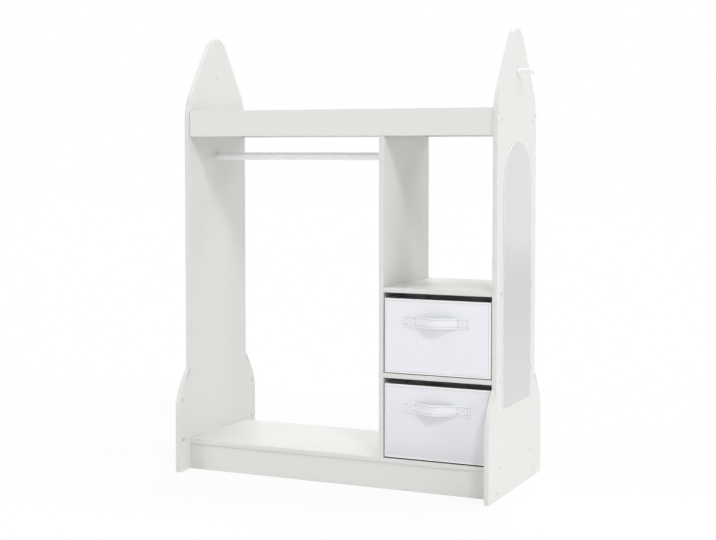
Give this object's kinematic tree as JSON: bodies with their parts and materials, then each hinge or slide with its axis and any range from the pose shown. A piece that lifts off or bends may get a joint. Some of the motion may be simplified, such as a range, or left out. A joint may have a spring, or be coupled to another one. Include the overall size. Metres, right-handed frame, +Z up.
{
  "type": "dress-up storage unit",
  "caption": "Child's open dress-up unit with pointed side panels, foot fins, hanging rod, top tray, cubby, pull-out fabric bins, coat pegs and an arched mirror on one side.",
  "frame": {"origin": "on the floor, at the middle of the footprint", "axes": "+Z up, +X to the user's right along the width as seen from the front, +Y to the back; the front faces -Y"},
  "size_m": [0.944, 0.406, 1.1299],
  "materials": {
    "white_board": "warm white satin melamine on 12 mm board, with matching edge band",
    "painted_wood": "white satin paint on turned wood",
    "mirror_sheet": "mirrored acrylic sheet with a polished edge",
    "tape": "double-sided foam tape",
    "steel": "zinc-plated, cross-recessed",
    "zinc": "die-cast zinc, plain",
    "dowel_wood": "plain beech",
    "bin_fabric": "cool white non-woven fabric with bound edges",
    "bin_lining": "plain white non-woven fabric over board",
    "bin_board": "grey cardboard"
  },
  "bodies": {
    "cabinet": {"left_side_panel": "white_board", "right_side_panel": "white_board", "left_front_fin": "white_board", "left_rear_fin": "white_board", "right_front_fin": "white_board", "right_rear_fin": "white_board", "divider_panel": "white_board", "base_board": "white_board", "front_kickboard": "white_board", "rear_kickboard": "white_board", "bin_shelf": "white_board", "cubby_shelf": "white_board", "top_shelf": "white_board", "front_top_rail": "white_board", "rear_top_rail": "white_board", "hanging_rod": "painted_wood", "left_coat_peg": "painted_wood", "right_coat_peg": "painted_wood", "arched_mirror": "mirror_sheet", "mirror_tape": "tape", "left_side_screws": "steel", "right_side_screws": "steel", "divider_screws": "steel", "divider_end_screws": "steel", "rail_screws": "steel", "rod_screws": "steel", "peg_screws": "steel", "fin_cam_locks": "zinc", "fin_cam_bolts": "steel", "fin_dowels": "dowel_wood", "rail_dowels": "dowel_wood"},
    "upper_bin": {"upper_bin_cover": "bin_fabric", "upper_bin_wall_boards": "bin_board", "upper_bin_rim_binding": "bin_fabric", "upper_bin_bottom_insert": "bin_lining", "upper_bin_handle": "bin_fabric"},
    "lower_bin": {"lower_bin_cover": "bin_fabric", "lower_bin_wall_boards": "bin_board", "lower_bin_rim_binding": "bin_fabric", "lower_bin_bottom_insert": "bin_lining", "lower_bin_handle": "bin_fabric"}
  },
  "joints": [
    {"name": "upper_bin_slide", "type": "slide", "parent": "cabinet", "child": "upper_bin", "axis": [0, -1, 0], "range_m": [0, 0.36]},
    {"name": "lower_bin_slide", "type": "slide", "parent": "cabinet", "child": "lower_bin", "axis": [0, -1, 0], "range_m": [0, 0.36]}
  ]
}
